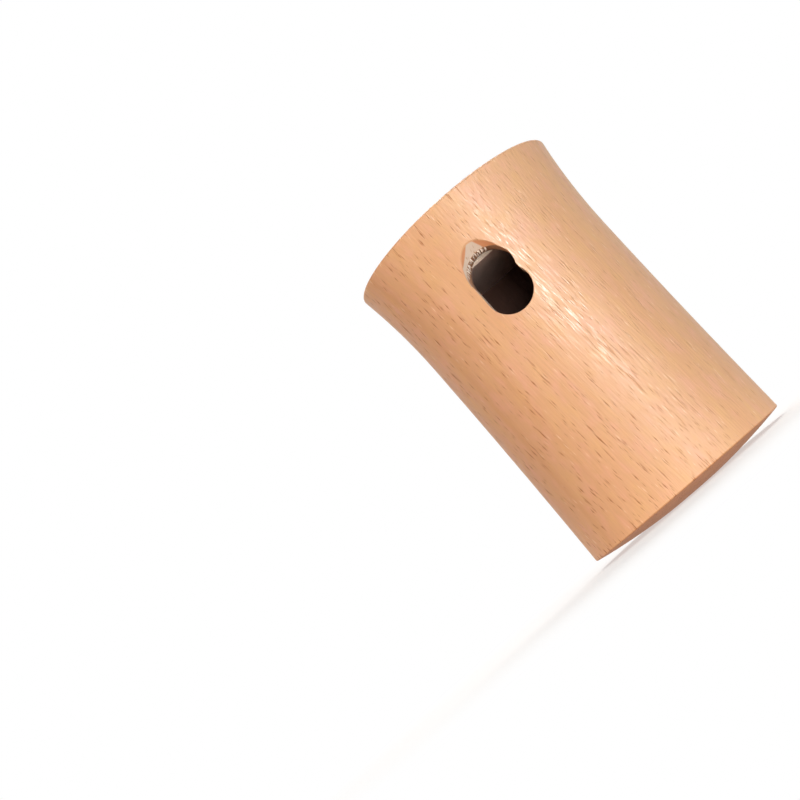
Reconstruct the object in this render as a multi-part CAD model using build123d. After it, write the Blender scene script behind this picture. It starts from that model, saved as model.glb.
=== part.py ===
# Bird call: a turned beech whistle that is blown from its upper end, the one nearer the window.
# A waisted barrel is bored through. A block in the mouth end has a flat that leaves the
# windway inside the barrel's wall, and a plug closes the other end. The barrel and the plug
# are turned to one shallow dome there, sanded flat in the middle, where the call stands.
#
# Millimetres. The bore is along Z, the mouth end is up and the window faces -Y. The origin
# is on the table, at the middle of the flat that the call stands on.
import os
from math import cos, radians, sin, sqrt

from build123d import *

# barrel
rim_diameter = 60.0  # at the dome
mouth_diameter = 62.5  # as turned, before its edge is rounded
waist_diameter = 58.1
waist_from_mouth = 26.6
barrel_length = 90.7  # mouth face to the rim of the dome
mouth_rounding = 0.5
bore_diameter = 42.0

# dome under the barrel and the plug
dome_radius = 165.0
dome_edge_break = 0.4
rest_flat_diameter = 18.0

# window: two holes by one drill, joined on one side by a file and worn on the other where they
# meet, and a scoop by the same drill
drill_diameter = 12.2
first_hole_from_mouth = 21.2
hole_spacing = 6.35
worn_from_middle = 5.5
scoop_from_mouth = 12.3
scoop_angle = 45.0  # between the drill and the bore
scoop_offset = 0.3  # the hand-held drill wandered to the filed side

# block in the mouth end
block_length = 15.9
windway_height = 1.6
windway_chamfer = 0.4

# plug in the domed end
plug_thickness = 9.0  # inner face to the rim of the dome

# glue line round the block and the plug
glue_gap = 0.05

rim_radius = rim_diameter / 2
mouth_radius = mouth_diameter / 2
waist_radius = waist_diameter / 2
bore_radius = bore_diameter / 2
drill_radius = drill_diameter / 2
flat_radius = rest_flat_diameter / 2
insert_radius = bore_radius - glue_gap
dome_height = sqrt(dome_radius**2 - flat_radius**2) - sqrt(dome_radius**2 - rim_radius**2)
mouth_height = barrel_length + dome_height
first_hole_height = mouth_height - first_hole_from_mouth
last_hole_height = first_hole_height - hole_spacing
reach = rim_diameter  # cutters run this far, past every face


def turned_blank():
    # the outside as it leaves the lathe, solid, from the flat under the dome to the mouth face
    flat_edge = (flat_radius, 0)
    dome_rim = (rim_radius, dome_height)
    waist = (waist_radius, mouth_height - waist_from_mouth)
    mouth_rim = (mouth_radius, mouth_height)
    mouth_centre = (0, mouth_height)
    outline = Line((0, 0), flat_edge)
    outline += RadiusArc(flat_edge, dome_rim, -dome_radius)
    outline += TangentArc(waist, dome_rim, tangent=(0, -1))
    outline += TangentArc(waist, mouth_rim, tangent=(0, 1))
    outline += Line(mouth_rim, mouth_centre)
    outline += Line(mouth_centre, (0, 0))
    profile = make_face(outline.edges())
    profile = fillet(profile.vertices().sort_by_distance(dome_rim)[0], dome_edge_break)
    profile = fillet(profile.vertices().sort_by_distance(mouth_rim)[0], mouth_rounding)
    return revolve(Plane.XZ * profile, axis=Axis.Z)


def round_bar(radius, bottom, top):
    bar = Cylinder(radius, top - bottom, align=(Align.CENTER, Align.CENTER, Align.MIN))
    return Pos(0, 0, bottom) * bar


def barrel_radius_above_waist(from_mouth):
    depth = mouth_radius - waist_radius
    arc_radius = (waist_from_mouth**2 + depth**2) / (2 * depth)
    along = waist_from_mouth - from_mouth
    return waist_radius + arc_radius - sqrt(arc_radius**2 - along**2)


def scoop_cutter():
    # the drill comes in from above, and its lowest side starts at the barrel's surface
    lean = radians(scoop_angle)
    surface = barrel_radius_above_waist(scoop_from_mouth)
    axis_y = -surface - drill_radius * cos(lean)
    axis_z = mouth_height - scoop_from_mouth - drill_radius * sin(lean)
    drill = Cylinder(drill_radius, 2 * reach)
    drill = Pos(-scoop_offset, axis_y, axis_z) * Rot(scoop_angle, 0, 0) * drill
    # it stops in the open first hole
    stop = Box(reach, 2 * reach, reach, align=(Align.CENTER, Align.CENTER, Align.MIN))
    return drill & (Pos(0, 0, first_hole_height) * stop)


def window_cutter():
    hole = Rot(90, 0, 0) * Cylinder(drill_radius, reach, align=(Align.CENTER, Align.CENTER, Align.MIN))
    first_hole = Pos(0, 0, first_hole_height) * hole
    last_hole = Pos(0, 0, last_hole_height) * hole
    filed = Box(drill_radius, reach, hole_spacing, align=(Align.MAX, Align.MAX, Align.MIN))
    filed = Pos(0, 0, last_hole_height) * filed
    worn = Box(worn_from_middle, reach, hole_spacing, align=(Align.MIN, Align.MAX, Align.MIN))
    worn = Pos(0, 0, last_hole_height) * worn
    return first_hole + last_hole + filed + worn + scoop_cutter()


def make_body(blank):
    bore = round_bar(bore_radius, -reach, mouth_height + reach)
    return blank - bore - window_cutter()


def make_block(blank):
    block_bottom = mouth_height - block_length
    block = blank & round_bar(insert_radius, block_bottom, mouth_height)
    windway = Box(reach, reach, 2 * reach, align=(Align.CENTER, Align.MAX, Align.CENTER))
    block -= Pos(0, windway_height - bore_radius, mouth_height) * windway
    # the floor's lower edge is eased, where the breath leaves the windway
    floor_edges = block.edges().filter_by(Axis.X).sort_by(Axis.Z)
    return chamfer(floor_edges[0], windway_chamfer)


def make_plug(blank):
    return blank & round_bar(insert_radius, -reach, dome_height + plug_thickness)


turned = turned_blank()
nodes = {
    "body": make_body(turned),
    "fipple_block": make_block(turned),
    "base_plug": make_plug(turned),
}

os.makedirs("parts", exist_ok=True)
for name, shape in nodes.items():
    shape.label = name
    export_step(shape, f"parts/{name}.step")
    print(name, "solids", len(shape.solids()), "volume", round(shape.volume, 1))
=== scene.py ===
# bird call, a turned beech whistle: the barrel, the block and the plug get their wood here,
# and the fibres that the drill tore in the window are modelled
import math
import random

import bmesh
import bpy
from mathutils import Matrix, Vector


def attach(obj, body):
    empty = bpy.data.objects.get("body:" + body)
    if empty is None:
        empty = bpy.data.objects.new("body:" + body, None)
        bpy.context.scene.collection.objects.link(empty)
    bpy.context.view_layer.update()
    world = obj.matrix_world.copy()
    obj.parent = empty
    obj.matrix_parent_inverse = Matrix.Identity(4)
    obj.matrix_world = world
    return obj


mm = 0.001

bpy.ops.wm.read_factory_settings(use_empty=True)
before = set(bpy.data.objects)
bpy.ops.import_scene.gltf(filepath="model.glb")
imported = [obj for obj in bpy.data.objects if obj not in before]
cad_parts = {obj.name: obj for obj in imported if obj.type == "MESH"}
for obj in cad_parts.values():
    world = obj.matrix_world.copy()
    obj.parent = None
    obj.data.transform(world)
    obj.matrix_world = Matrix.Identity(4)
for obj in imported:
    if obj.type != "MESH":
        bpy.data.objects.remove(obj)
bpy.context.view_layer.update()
print("frame loaded:", ", ".join(sorted(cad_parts)))


# small helpers for every material

def hexColor(code):
    channels = [int(code[i:i + 2], 16) / 255 for i in (1, 3, 5)]
    linear = [c / 12.92 if c <= 0.04045 else ((c + 0.055) / 1.055) ** 2.4 for c in channels]
    return (*linear, 1.0)


def addNode(tree, kind, inputs=None, out=None, **settings):
    node = tree.nodes.new("ShaderNode" + kind)
    for name, value in settings.items():
        setattr(node, name, value)
    for name, value in (inputs or {}).items():
        if isinstance(value, bpy.types.NodeSocket):
            tree.links.new(value, node.inputs[name])
        else:
            node.inputs[name].default_value = value
    return node if out is None else node.outputs[out]


def newMaterial(name):
    material = bpy.data.materials.new(name)
    material.use_nodes = True
    tree = material.node_tree
    tree.nodes.clear()
    return material, tree


# beech, shared by the barrel, the plug and the block

beech = {
    "ior": 1.5,
    "meanRadiusMm": 119.0,          # pith to bore in the barrel, turns an angle into a width
    "leanDeg": 3.5,                 # the grain runs a little askew to the bore
    "wanderMm": 1.3,
    "wanderLengthMm": 24.0,
    "wanderDetail": 4.0,
    "wanderRoughness": 0.6,
    "ringWidthMm": 3.1,
    "ringDetail": 1.5,
    # noises: size across and along the grain in mm, and detail
    "tone": (9.0, 34.0, 1.0),
    "mottle": (3.4, 6.5, 2.0),
    "fibre": (0.25, 14.0, 2.0),
    "ridge": (0.55, 7.0, 2.0),
    "polish": (0.4, 4.5, 1.0),
    "fibreSpan": (0.3, 0.7),        # nearly all of the fibre noise lies between these
    # rays: thickness, height along the grain and depth towards the pith, in mm, and the
    # share of the places that hold one
    "mainRays": (0.38, 7.6, 2.4, 0.09),
    "shortRays": (0.36, 3.8, 1.8, 0.14),
    "hairRays": (0.20, 3.8, 1.6, 0.24),
    "paleRays": (0.26, 3.2, 1.6, 0.08),
    "rayBorder": (0.62, 0.2),       # a ray's outer border and its full core, as shares of its size
    "faintestRay": 0.55,
}


def grainCoordinates(tree, pithMm):
    # depth from the pith, width round it and height along the grain, all in mm
    where = addNode(tree, "TexCoord", out="Object")
    shifted = addNode(
        tree, "Mapping",
        {
            "Vector": where, "Scale": (1 / mm,) * 3, "Location": (-pithMm[0], -pithMm[1], 0),
            "Rotation": (0, math.radians(beech["leanDeg"]), 0),
        },
        out=0,
    )
    wander = addNode(
        tree, "TexNoise",
        {
            "Vector": shifted, "Scale": 1 / beech["wanderLengthMm"],
            "Detail": beech["wanderDetail"], "Roughness": beech["wanderRoughness"],
        },
        out="Color",
    )
    noiseMiddle = (0.5,) * 3
    wander = addNode(tree, "VectorMath", {0: wander, 1: noiseMiddle}, out=0, operation="SUBTRACT")
    reach = (beech["wanderMm"], beech["wanderMm"], 0)
    wander = addNode(tree, "VectorMath", {0: wander, 1: reach}, out=0, operation="MULTIPLY")
    bent = addNode(tree, "VectorMath", {0: shifted, 1: wander}, out=0, operation="ADD")
    x, y, z = addNode(tree, "SeparateXYZ", {0: bent}).outputs
    forward = addNode(tree, "Math", {0: y, 1: -1.0}, out=0, operation="MULTIPLY")
    angle = addNode(tree, "Math", {0: x, 1: forward}, out=0, operation="ARCTAN2")
    width = addNode(tree, "Math", {0: angle, 1: beech["meanRadiusMm"]}, out=0, operation="MULTIPLY")
    level = addNode(tree, "CombineXYZ", {"X": x, "Y": y}, out=0)
    depth = addNode(tree, "VectorMath", {0: level}, out="Value", operation="LENGTH")
    grain = addNode(tree, "CombineXYZ", {"X": depth, "Y": width, "Z": z}, out=0)
    return shifted, grain, depth


def rayFlecks(tree, grain, sizes):
    # each cell is one ray's size, and only a share of the cells hold a ray
    thickness, height, depth, share = sizes
    scaled = addNode(
        tree, "Mapping", {"Vector": grain, "Scale": (1 / depth, 1 / thickness, 1 / height)}, out=0,
    )
    cells = addNode(tree, "TexVoronoi", {"Vector": scaled, "Scale": 1.0}, distance="MANHATTAN")
    border, core = beech["rayBorder"]
    body = addNode(
        tree, "MapRange", {"Value": cells.outputs["Distance"], "From Min": border, "From Max": core},
        out=0, interpolation_type="SMOOTHSTEP",
    )
    chance = addNode(tree, "SeparateColor", {0: cells.outputs["Color"]}, out=0)
    held = addNode(tree, "Math", {0: chance, 1: 1.0 - share}, out=0, operation="GREATER_THAN")
    strength = addNode(
        tree, "MapRange",
        {"Value": chance, "From Min": 1.0 - share, "From Max": 1.0, "To Min": beech["faintestRay"]},
        out=0,
    )
    shown = addNode(tree, "Math", {0: held, 1: strength}, out=0, operation="MULTIPLY")
    return addNode(tree, "Math", {0: body, 1: shown}, out=0, operation="MULTIPLY")


def alongGrain(tree, shifted, sizes):
    # noise drawn out along the grain
    across, along, detail = sizes
    scaled = addNode(
        tree, "Mapping", {"Vector": shifted, "Scale": (1 / across, 1 / across, 1 / along)}, out=0,
    )
    return addNode(tree, "TexNoise", {"Vector": scaled, "Scale": 1.0, "Detail": detail}, out=0)


def growthRings(tree, depth):
    count = addNode(tree, "Math", {0: depth, 1: beech["ringWidthMm"]}, out=0, operation="DIVIDE")
    return addNode(
        tree, "TexNoise", {"W": count, "Scale": 1.0, "Detail": beech["ringDetail"]},
        out=0, noise_dimensions="1D",
    )


barrelFinish = {
    "pithMm": (-45.0, 110.0),       # the tree's middle, behind and left of the bore
    "wood": "#E7B68B",
    "woodRed": "#DDA67A",
    # colours over the wood: the noise where each starts and is full, and its share
    "pinkMottle": ("#E8B08F", 0.52, 0.7, 0.7),
    "goldMottle": ("#E4B380", 0.48, 0.3, 0.7),
    "late": ("#D29867", 0.5, 0.75, 0.3),
    "fibreShade": (0.96, 1.03),
    "ray": "#AE6C3C",
    "fainterMm": (-6.0, 14.0, 0.5), # the flecks are fainter from the left to the right
    "paleRay": "#F3CDA6",
    "domeGrain": "#D0AE89",         # end grain drinks more oil, the mouth face was sanded finer
    "mouthGrain": "#EFDCC8",
    "endGrainShare": 0.85,
    # walls that the drill cut
    "raw": "#DCC6B2",
    "rawRay": "#C39B76",
    "paintedShadeBrown": "#D8966A",         # painted shade: the scoop's shaded wall is coloured brown
    "paintedShadeMm": (0.45, 37.2),    # slope and place of its border
    "filedSideMm": (1.156, 93.8),   # the same painted shade on a narrower strip on the filed side
    "paintedShadeBorderMm": (-0.1, 0.2),
    # painted shade: the first hole's wall is coloured darker brown than the raw wall
    "holeWallShade": "#BE9070",
    "holeMm": (72.004, 6.1),        # height and radius of the first hole
    "holeBorderMm": (0.28, 0.2),
    "raggedMm": 0.3,                # how far fibres break up that border
    # painted shade: the bore is coloured dark so that the hollow looks unlit
    "bore": "#735549",
    # outside of the barrel in mm, as turned: waist radius, its height and how fast it swells
    "waistRadiusMm": 29.05,
    "waistHeightMm": 66.60,
    "swellAboveMm": 323.8,
    "swellBelowMm": 4326.0,
    "skinMm": (0.15, 0.4),          # the oil ends between these depths
    "domeTopMm": (2.5, 2.9),
    "mouthFaceMm": (93.13, 92.83),
    "boreMm": (21.5, 21.15),
    "windowMm": (7.0, 70.0, 13.0),  # half width, middle height and half height of the cut part
    # surface
    "roughness": (0.42, 0.58),
    "rawRoughness": 0.4,            # added where the drill cut
    "sheen": 0.34,
    "polish": (0.5, 0.62, 0.28),    # oil stands on the ridges: noise at its start, when full, share
    "polishRoughness": 0.2,
    "polishBumpMm": 0.05,
    "handledMm": (20.0, 58.0),      # hands polish the upper part, and less of it further down
    "unhandledShare": 0.25,
    "ridgeBumpMm": 0.09,
    "fleckDent": 0.6,               # flecks are sunk by this share of a ridge
    "edgeMm": 0.25,                 # edges are broken by hand
}


def oiledSkin(tree, finish, shifted, grain, depth, fibre, flecks, x):
    # broad tone first, then mottling, late wood, fibres and flecks
    tone = alongGrain(tree, shifted, beech["tone"])
    mottle = alongGrain(tree, shifted, beech["mottle"])
    ring = growthRings(tree, depth)
    wood = addNode(
        tree, "Mix", {0: tone, 6: hexColor(finish["wood"]), 7: hexColor(finish["woodRed"])},
        out=2, data_type="RGBA",
    )
    for noise, layer in ((mottle, "pinkMottle"), (mottle, "goldMottle"), (ring, "late")):
        color, start, full, share = finish[layer]
        mask = addNode(
            tree, "MapRange",
            {"Value": noise, "From Min": start, "From Max": full, "To Max": share}, out=0,
        )
        wood = addNode(
            tree, "Mix", {0: mask, 6: wood, 7: hexColor(color)}, out=2, data_type="RGBA",
        )
    low, high = beech["fibreSpan"]
    dark, light = finish["fibreShade"]
    shade = addNode(
        tree, "MapRange",
        {"Value": fibre, "From Min": low, "From Max": high, "To Min": dark, "To Max": light}, out=0,
    )
    wood = addNode(tree, "VectorMath", {0: wood, "Scale": shade}, out=0, operation="SCALE")

    left, right, faint = finish["fainterMm"]
    fade = addNode(
        tree, "MapRange",
        {"Value": x, "From Min": left, "From Max": right, "To Min": 1.0, "To Max": faint}, out=0,
    )
    shownFlecks = addNode(tree, "Math", {0: flecks, 1: fade}, out=0, operation="MULTIPLY")
    paleFlecks = rayFlecks(tree, grain, beech["paleRays"])
    for mask, color in ((paleFlecks, "paleRay"), (shownFlecks, "ray")):
        wood = addNode(
            tree, "Mix", {0: mask, 6: wood, 7: hexColor(finish[color])}, out=2, data_type="RGBA",
        )
    return wood


def drilledWalls(tree, finish, x, y, z):
    # how deep under the turned outside a point lies
    level = addNode(tree, "CombineXYZ", {"X": x, "Y": y}, out=0)
    radius = addNode(tree, "VectorMath", {0: level}, out="Value", operation="LENGTH")
    rise = addNode(tree, "Math", {0: z, 1: finish["waistHeightMm"]}, out=0, operation="SUBTRACT")
    isAbove = addNode(tree, "Math", {0: rise, 1: 0.0}, out=0, operation="GREATER_THAN")
    swell = addNode(
        tree, "MapRange",
        {"Value": isAbove, "To Min": 1 / finish["swellBelowMm"], "To Max": 1 / finish["swellAboveMm"]},
        out=0,
    )
    bulge = addNode(tree, "Math", {0: rise, 1: 2.0}, out=0, operation="POWER")
    bulge = addNode(tree, "Math", {0: bulge, 1: swell}, out=0, operation="MULTIPLY")
    outside = addNode(tree, "Math", {0: bulge, 1: finish["waistRadiusMm"]}, out=0, operation="ADD")
    under = addNode(tree, "Math", {0: outside, 1: radius}, out=0, operation="SUBTRACT")
    shallow, deep = finish["skinMm"]
    inside = addNode(
        tree, "MapRange", {"Value": under, "From Min": shallow, "From Max": deep},
        out=0, interpolation_type="SMOOTHSTEP",
    )
    # only round the window and in the bore, and not on the two ends
    halfWidth, middle, halfHeight = finish["windowMm"]
    across = addNode(tree, "Math", {0: x, 1: 0.0, 2: halfWidth}, out=0, operation="COMPARE")
    upright = addNode(tree, "Math", {0: z, 1: middle, 2: halfHeight}, out=0, operation="COMPARE")
    inFront = addNode(tree, "Math", {0: y, 1: 0.0}, out=0, operation="LESS_THAN")
    for limit in (across, upright, inFront):
        inside = addNode(tree, "Math", {0: inside, 1: limit}, out=0, operation="MULTIPLY")
    inBore, aboveDome, belowMouth = [
        addNode(
            tree, "MapRange",
            {"Value": measure, "From Min": finish[border][0], "From Max": finish[border][1]}, out=0,
        )
        for measure, border in ((radius, "boreMm"), (z, "domeTopMm"), (z, "mouthFaceMm"))
    ]
    inside = addNode(tree, "Math", {0: inside, 1: inBore}, out=0, operation="MAXIMUM")
    between = addNode(tree, "Math", {0: aboveDome, 1: belowMouth}, out=0, operation="MULTIPLY")
    isRaw = addNode(tree, "Math", {0: inside, 1: between}, out=0, operation="MULTIPLY")
    return isRaw, inBore, aboveDome, belowMouth


def rawWalls(tree, finish, fibre, flecks, inBore, x, z):
    wall = addNode(
        tree, "Mix", {0: flecks, 6: hexColor(finish["raw"]), 7: hexColor(finish["rawRay"])},
        out=2, data_type="RGBA",
    )
    # brown strips of painted shade on both sides of the scoop
    mirrored = addNode(tree, "Math", {0: x, 1: -1.0}, out=0, operation="MULTIPLY")
    start, full = finish["paintedShadeBorderMm"]
    strips = []
    for sideways, border in ((x, "paintedShadeMm"), (mirrored, "filedSideMm")):
        slope, reach = finish[border]
        side = addNode(tree, "Math", {0: z, 1: slope, 2: sideways}, out=0, operation="MULTIPLY_ADD")
        strip = addNode(
            tree, "MapRange", {"Value": side, "From Min": reach + start, "From Max": reach + full},
            out=0,
        )
        strips.append(strip)
    isPaintedShade = addNode(tree, "Math", {0: strips[0], 1: strips[1]}, out=0, operation="MAXIMUM")
    # wall of the first hole, darker brown as painted shade, with a border that the fibres break up
    holeHeight, holeRadius = finish["holeMm"]
    start, full = finish["holeBorderMm"]
    fromHole = addNode(tree, "CombineXYZ", {"X": x, "Y": z}, out=0)
    fromHole = addNode(
        tree, "VectorMath", {0: fromHole, 1: (0, holeHeight, 0)}, out="Value", operation="DISTANCE",
    )
    ragged = addNode(
        tree, "Math", {0: fibre, 1: finish["raggedMm"], 2: fromHole}, out=0, operation="MULTIPLY_ADD",
    )
    isHole = addNode(
        tree, "MapRange",
        {"Value": ragged, "From Min": holeRadius + start, "From Max": holeRadius + full}, out=0,
    )
    # the brown strips, the darker hole wall and the dark bore laid over the raw wall are painted shade
    for mask, color in ((isPaintedShade, "paintedShadeBrown"), (isHole, "holeWallShade"), (inBore, "bore")):
        wall = addNode(
            tree, "Mix", {0: mask, 6: wall, 7: hexColor(finish[color])}, out=2, data_type="RGBA",
        )
    return wall


def standingOil(tree, finish, shifted, isRaw, z):
    dashes = alongGrain(tree, shifted, beech["polish"])
    start, full, share = finish["polish"]
    oil = addNode(
        tree, "MapRange", {"Value": dashes, "From Min": start, "From Max": full, "To Max": share},
        out=0,
    )
    low, high = finish["handledMm"]
    handled = addNode(
        tree, "MapRange",
        {"Value": z, "From Min": low, "From Max": high, "To Min": finish["unhandledShare"]},
        out=0, interpolation_type="SMOOTHSTEP",
    )
    isFinished = addNode(tree, "Math", {0: 1.0, 1: isRaw}, out=0, operation="SUBTRACT")
    for mask in (handled, isFinished):
        oil = addNode(tree, "Math", {0: oil, 1: mask}, out=0, operation="MULTIPLY")
    return oil


def oiledBeech(name, finish):
    # beech turned on a lathe, sanded and oiled: a warm orange skin with short brown ray flecks and a
    # satin sheen that the fibres break up. The drilled walls stayed raw, paler and dull; the brown
    # strips in the scoop, the darker wall of the first hole and the dark bore are painted shade.
    material, tree = newMaterial(name)
    shifted, grain, depth = grainCoordinates(tree, finish["pithMm"])
    fibre = alongGrain(tree, shifted, beech["fibre"])
    ridge = alongGrain(tree, shifted, beech["ridge"])
    flecks = rayFlecks(tree, grain, beech["mainRays"])
    for rays in ("shortRays", "hairRays"):
        more = rayFlecks(tree, grain, beech[rays])
        flecks = addNode(tree, "Math", {0: flecks, 1: more}, out=0, operation="MAXIMUM")
    place = addNode(tree, "TexCoord", out="Object")
    place = addNode(tree, "VectorMath", {0: place, "Scale": 1 / mm}, out=0, operation="SCALE")
    x, y, z = addNode(tree, "SeparateXYZ", {0: place}).outputs
    isRaw, inBore, aboveDome, belowMouth = drilledWalls(tree, finish, x, y, z)

    skin = oiledSkin(tree, finish, shifted, grain, depth, fibre, flecks, x)
    for off, color in ((aboveDome, "domeGrain"), (belowMouth, "mouthGrain")):
        isEnd = addNode(
            tree, "Math", {0: finish["endGrainShare"], 1: off},
            out=0, operation="SUBTRACT", use_clamp=True,
        )
        skin = addNode(
            tree, "Mix", {0: isEnd, 6: skin, 7: hexColor(finish[color])},
            out=2, data_type="RGBA", blend_type="MULTIPLY",
        )
    wall = rawWalls(tree, finish, fibre, flecks, inBore, x, z)
    color = addNode(tree, "Mix", {0: isRaw, 6: skin, 7: wall}, out=2, data_type="RGBA")

    low, high = beech["fibreSpan"]
    smooth, rough = finish["roughness"]
    satin = addNode(
        tree, "MapRange",
        {"Value": fibre, "From Min": low, "From Max": high, "To Min": smooth, "To Max": rough}, out=0,
    )
    dull = addNode(tree, "Math", {0: isRaw, 1: finish["rawRoughness"]}, out=0, operation="MULTIPLY")
    roughness = addNode(tree, "Math", {0: satin, 1: dull}, out=0, operation="ADD")
    dent = addNode(tree, "Math", {0: flecks, 1: finish["fleckDent"]}, out=0, operation="MULTIPLY")
    height = addNode(tree, "Math", {0: ridge, 1: dent}, out=0, operation="SUBTRACT")
    eased = addNode(tree, "Bevel", {"Radius": finish["edgeMm"] * mm}, out=0, samples=4)
    bump, softBump = [
        addNode(
            tree, "Bump",
            {"Height": height, "Distance": finish[size] * mm, "Strength": 1.0, "Normal": eased}, out=0,
        )
        for size in ("ridgeBumpMm", "polishBumpMm")
    ]
    shader = addNode(
        tree, "BsdfPrincipled",
        {
            "Base Color": color, "Roughness": roughness, "Normal": bump, "IOR": beech["ior"],
            "Specular IOR Level": finish["sheen"],
            "Coat Weight": standingOil(tree, finish, shifted, isRaw, z),
            "Coat Roughness": finish["polishRoughness"], "Coat Normal": softBump,
        },
        out=0,
    )
    addNode(tree, "OutputMaterial", {"Surface": shader})
    return material


blockWood = {
    "pithMm": (90.0, 60.0),
    "wood": "#FFE9D2",
    "ray": "#D0AD8C",
    "fibreShade": (0.9, 1.05),
    "end": "#F3D3C3",               # the end grain that faces the hollow
    "endMm": 77.33,
    "oiled": "#DDAC82",             # its face in the mouth is oiled with the barrel's
    "oiledRay": "#AE7046",
    "oiledMm": 93.1,
    "late": (0.45, 0.7, 0.4),       # late wood there: noise where it starts and is full, share
    "roughness": 0.7,
    "ridgeBumpMm": 0.04,
}


def rawBeech(name, finish):
    # sawn beech that was never finished: pale, dry and dull, with faint flecks. Only its face
    # in the mouth took oil, which shows its growth rings.
    material, tree = newMaterial(name)
    shifted, grain, depth = grainCoordinates(tree, finish["pithMm"])
    flecks = rayFlecks(tree, grain, beech["mainRays"])
    fibre = alongGrain(tree, shifted, beech["fibre"])
    low, high = beech["fibreSpan"]
    dark, light = finish["fibreShade"]
    shade = addNode(
        tree, "MapRange",
        {"Value": fibre, "From Min": low, "From Max": high, "To Min": dark, "To Max": light}, out=0,
    )
    ring = growthRings(tree, depth)
    start, full, share = finish["late"]
    late = addNode(
        tree, "MapRange", {"Value": ring, "From Min": start, "From Max": full, "To Max": share}, out=0,
    )
    oiled = addNode(
        tree, "Mix", {0: late, 6: hexColor(finish["oiled"]), 7: hexColor(finish["oiledRay"])},
        out=2, data_type="RGBA",
    )
    where = addNode(tree, "TexCoord", out="Object")
    level = addNode(tree, "SeparateXYZ", {0: where}, out="Z")
    isOiled = addNode(
        tree, "Math", {0: level, 1: finish["oiledMm"] * mm}, out=0, operation="GREATER_THAN",
    )
    wood = addNode(
        tree, "Mix", {0: isOiled, 6: hexColor(finish["wood"]), 7: oiled}, out=2, data_type="RGBA",
    )
    ray = addNode(
        tree, "Mix", {0: isOiled, 6: hexColor(finish["ray"]), 7: hexColor(finish["oiledRay"])},
        out=2, data_type="RGBA",
    )
    color = addNode(tree, "Mix", {0: flecks, 6: wood, 7: ray}, out=2, data_type="RGBA")
    isEnd = addNode(tree, "Math", {0: level, 1: finish["endMm"] * mm}, out=0, operation="LESS_THAN")
    color = addNode(
        tree, "Mix", {0: isEnd, 6: color, 7: hexColor(finish["end"])}, out=2, data_type="RGBA",
    )
    color = addNode(tree, "VectorMath", {0: color, "Scale": shade}, out=0, operation="SCALE")
    bump = addNode(
        tree, "Bump", {"Height": fibre, "Distance": finish["ridgeBumpMm"] * mm, "Strength": 1.0}, out=0,
    )
    shader = addNode(
        tree, "BsdfPrincipled",
        {
            "Base Color": color, "Roughness": finish["roughness"], "Normal": bump,
            "IOR": beech["ior"],
        },
        out=0,
    )
    addNode(tree, "OutputMaterial", {"Surface": shader})
    return material


def dressNode(name, material):
    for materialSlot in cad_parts[name].material_slots:
        materialSlot.material = material


barrelWood = oiledBeech("oiled turned beech", barrelFinish)
sawnWood = rawBeech("raw sawn beech", blockWood)
dressNode("body", barrelWood)
dressNode("base_plug", barrelWood)
dressNode("fipple_block", sawnWood)
print("wood on the barrel, plug and block")


# fibres that the drill tore where the scoop breaks into the first hole

tornFibres = {
    "color": "#F6EADB",
    "roughness": 0.8,
    "count": 52,
    "sides": 6,
    "angleDeg": (-64.0, 24.0),      # round the hole from its top, negative on the filed side
    "lengthMm": (0.3, 1.5),
    "rootMm": (0.06, 0.2),
    "tipMm": 0.02,
    "sunkMm": 0.15,
    "depthMm": 1.6,                 # down the hole's wall from its edge
    "liftDeg": (4.0, 40.0),         # out of the grain
    "splayDeg": 14.0,
    "scoopMm": (-0.3, -33.977, 76.591),  # a point on the axis of the drill that cut the scoop
    "seed": 4,
}


def addTornFibres(settings):
    # fresh beech fibre: nearly white where it tore, and dull
    material, tree = newMaterial("torn beech fibre")
    shader = addNode(
        tree, "BsdfPrincipled",
        {"Base Color": hexColor(settings["color"]), "Roughness": settings["roughness"]}, out=0,
    )
    addNode(tree, "OutputMaterial", {"Surface": shader})
    chance = random.Random(settings["seed"])
    holeHeight, radius = barrelFinish["holeMm"]
    scoopX, scoopY, scoopZ = settings["scoopMm"]
    made = bmesh.new()
    for _ in range(settings["count"]):
        angle = math.radians(chance.uniform(*settings["angleDeg"]))
        x = radius * math.sin(angle)
        z = holeHeight + radius * math.cos(angle)
        # the scoop runs at 45 degrees and meets the hole's wall here
        edgeY = scoopY + math.sqrt(2 * (radius ** 2 - (x - scoopX) ** 2)) - (z - scoopZ)
        y = edgeY + settings["depthMm"] * chance.random() ** 2
        lift = math.radians(chance.uniform(*settings["liftDeg"]))
        splay = math.radians(chance.uniform(-1, 1) * settings["splayDeg"])
        along = Vector((math.sin(splay), -math.sin(lift), -math.cos(lift))).normalized()
        length = chance.uniform(*settings["lengthMm"])
        root = Vector((x, y, z)) - along * settings["sunkMm"]
        turn = along.to_track_quat("Z", "Y").to_matrix().to_4x4()
        place = Matrix.Translation((root + along * length / 2) * mm) @ turn
        bmesh.ops.create_cone(
            made, cap_ends=True, segments=settings["sides"],
            radius1=chance.uniform(*settings["rootMm"]) * mm, radius2=settings["tipMm"] * mm,
            depth=length * mm, matrix=place,
        )
    mesh = bpy.data.meshes.new("torn_fibres")
    made.to_mesh(mesh)
    made.free()
    mesh.materials.append(material)
    piece = bpy.data.objects.new("torn_fibres", mesh)
    bpy.context.scene.collection.objects.link(piece)
    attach(piece, "root")


addTornFibres(tornFibres)
print("torn fibres in the window")


# stage

floorPaper = {
    "sizeM": 6.0,
    "color": "#A9A8A6",
    "roughness": 0.9,
    "shownGlow": 0.5,               # to the camera, so that the floor is white outside the shadow
    "domeBounceGlow": 0.45,              # painted light: the floor under the call glows, so that its dome isn't black
    "domeBounceGlowMm": (36.0, 60.0),
    "shadowMm": (70.0, 170.0),      # the floor turns plain white between these radii
    "glowColor": "#FFFFFF",
}


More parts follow.
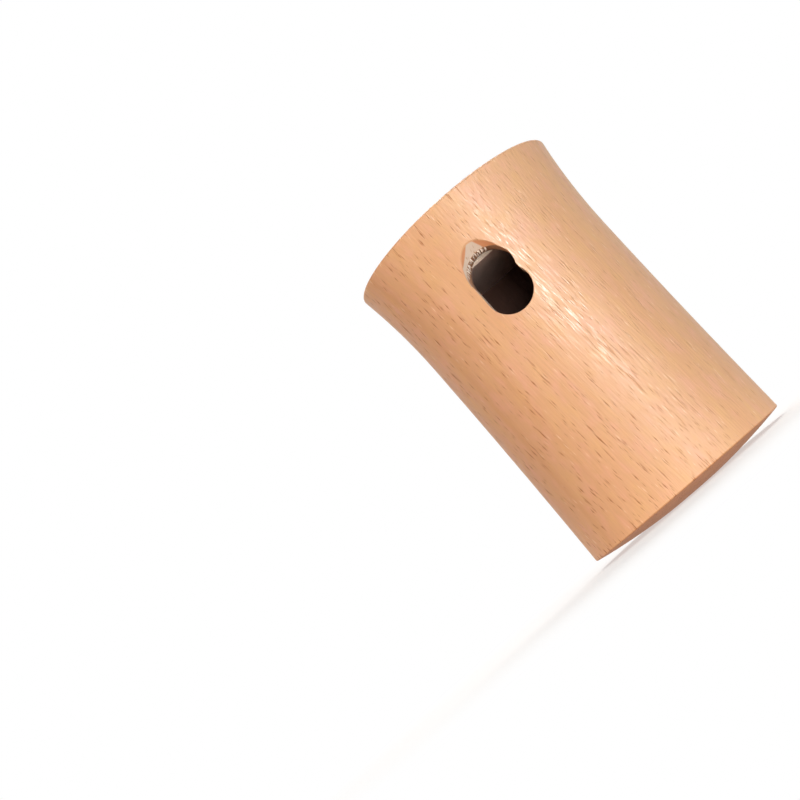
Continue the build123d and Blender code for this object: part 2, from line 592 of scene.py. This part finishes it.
def addFloor(settings):
    mesh = bpy.data.meshes.new("floor")
    made = bmesh.new()
    bmesh.ops.create_grid(made, x_segments=1, y_segments=1, size=settings["sizeM"] / 2)
    made.to_mesh(mesh)
    made.free()
    floor = bpy.data.objects.new("floor", mesh)
    bpy.context.scene.collection.objects.link(floor)
    # matt paper, and a ring of it under the call glows as painted light on the dome
    material, tree = newMaterial("matt white paper")
    glowColor = hexColor(settings["glowColor"])
    paper = addNode(
        tree, "BsdfPrincipled",
        {"Base Color": hexColor(settings["color"]), "Roughness": settings["roughness"]}, out=0,
    )
    where = addNode(tree, "TexCoord", out="Object")
    away = addNode(tree, "VectorMath", {0: where}, out="Value", operation="LENGTH")
    inner, outer = settings["domeBounceGlowMm"]
    strength = addNode(
        tree, "MapRange",
        {"Value": away, "From Min": outer * mm, "From Max": inner * mm, "To Max": settings["domeBounceGlow"]},
        out=0, interpolation_type="SMOOTHSTEP",
    )
    path = addNode(tree, "LightPath").outputs
    shown = addNode(
        tree, "Math", {0: path["Is Camera Ray"], 1: settings["shownGlow"]}, out=0, operation="MULTIPLY",
    )
    strength = addNode(tree, "Math", {0: strength, 1: shown}, out=0, operation="MAXIMUM")
    glow = addNode(tree, "Emission", {"Color": glowColor, "Strength": strength}, out=0)
    table = addNode(tree, "AddShader", {0: paper, 1: glow}, out=0)
    white = addNode(tree, "Emission", {"Color": glowColor, "Strength": 1.0}, out=0)
    near, far = settings["shadowMm"]
    beyond = addNode(
        tree, "MapRange", {"Value": away, "From Min": near * mm, "From Max": far * mm},
        out=0, interpolation_type="SMOOTHSTEP",
    )
    seen = addNode(
        tree, "Math", {0: path["Is Camera Ray"], 1: path["Is Glossy Ray"]}, out=0, operation="MAXIMUM",
    )
    share = addNode(tree, "Math", {0: beyond, 1: seen}, out=0, operation="MULTIPLY")
    surface = addNode(tree, "MixShader", {0: share, 1: table, 2: white}, out=0)
    addNode(tree, "OutputMaterial", {"Surface": surface})
    mesh.materials.append(material)


surroundings = {
    "color": "#FFFFFF",
    "light": 0.16,                  # on the call, while they look plain white
}


def addWorld(settings):
    world = bpy.data.worlds.new("studio")
    world.use_nodes = True
    tree = world.node_tree
    tree.nodes.clear()
    path = addNode(tree, "LightPath").outputs
    seen = path["Is Camera Ray"]
    for ray in ("Is Transmission Ray", "Is Glossy Ray"):
        seen = addNode(tree, "Math", {0: seen, 1: path[ray]}, out=0, operation="MAXIMUM")
    strength = addNode(tree, "MapRange", {"Value": seen, "To Min": settings["light"]}, out=0)
    background = addNode(
        tree, "Background", {"Color": hexColor(settings["color"]), "Strength": strength}, out=0,
    )
    addNode(tree, "OutputWorld", {"Surface": background})
    bpy.context.scene.world = world


lampTargetMm = (0.0, 0.0, 50.0)
lamps = [
    # low, so that it reaches the block through the window
    {
        "name": "front", "placeMm": (175.0, -412.0, 12.0), "sizeMm": (300.0, 20.0), "watts": 1.25,
        "shines": False,
    },
    # seen only as the soft sheen on the right of the barrel
    {
        "name": "card", "placeMm": (338.0, -725.0, 230.0), "sizeMm": (800.0, 280.0), "watts": 7.8,
        "lights": False,
    },
    # a strip that is seen only as the streak by the window
    {
        "name": "key", "placeMm": (363.0, -713.0, 165.0), "sizeMm": (40.0, 110.0), "watts": 3.1,
        "lights": False,
    },
    {"name": "top", "placeMm": (0.0, -60.0, 1000.0), "sizeMm": (600.0, 600.0), "watts": 2.6},
    # high, so that it draws no bright rim
    {"name": "back", "placeMm": (60.0, 560.0, 860.0), "sizeMm": (500.0, 500.0), "watts": 7.0},
    # warm light from the left
    {
        "name": "fill", "placeMm": (-740.0, -665.0, 90.0), "sizeMm": (600.0, 300.0), "watts": 3.4,
        "color": "#FFCFA4",
    },
]


def addLamp(name, placeMm, sizeMm, watts, color="#FFFFFF", lights=True, shines=True):
    lamp = bpy.data.lights.new(name, "AREA")
    lamp.shape = "RECTANGLE"
    lamp.size = sizeMm[0] * mm
    lamp.size_y = sizeMm[1] * mm
    lamp.energy = watts
    lamp.color = hexColor(color)[:3]
    holder = bpy.data.objects.new(name, lamp)
    holder.location = Vector(placeMm) * mm
    aim = Vector(lampTargetMm) * mm - holder.location
    holder.rotation_euler = aim.to_track_quat("-Z", "Y").to_euler()
    holder.visible_diffuse = lights
    holder.visible_glossy = shines
    bpy.context.scene.collection.objects.link(holder)


cameraSettings = {
    "placeMm": (8.16, -375.8, 8.71),
    "headingDeg": 7.511,            # to the left of +Y
    "pitchDeg": 8.866,              # upwards
    "rollDeg": -40.843,             # the call leans in the picture
    "lensMm": 65.25,
    "sensorMm": 36.0,
    "clipM": (0.01, 50.0),
}


def addCamera(settings):
    camera = bpy.data.cameras.new("camera")
    camera.sensor_width = settings["sensorMm"]
    camera.lens = settings["lensMm"]
    camera.clip_start, camera.clip_end = settings["clipM"]
    holder = bpy.data.objects.new("camera", camera)
    heading = Matrix.Rotation(math.radians(settings["headingDeg"]), 4, "Z")
    pitch = Matrix.Rotation(math.radians(90 + settings["pitchDeg"]), 4, "X")
    roll = Matrix.Rotation(math.radians(settings["rollDeg"]), 4, "Z")
    place = Matrix.Translation(Vector(settings["placeMm"]) * mm)
    holder.matrix_world = place @ heading @ pitch @ roll
    bpy.context.scene.collection.objects.link(holder)
    bpy.context.scene.camera = holder


addFloor(floorPaper)
addWorld(surroundings)
for lampSettings in lamps:
    addLamp(**lampSettings)
addCamera(cameraSettings)
bpy.context.scene.view_settings.view_transform = "Standard"
print("stage, lamps and camera set")
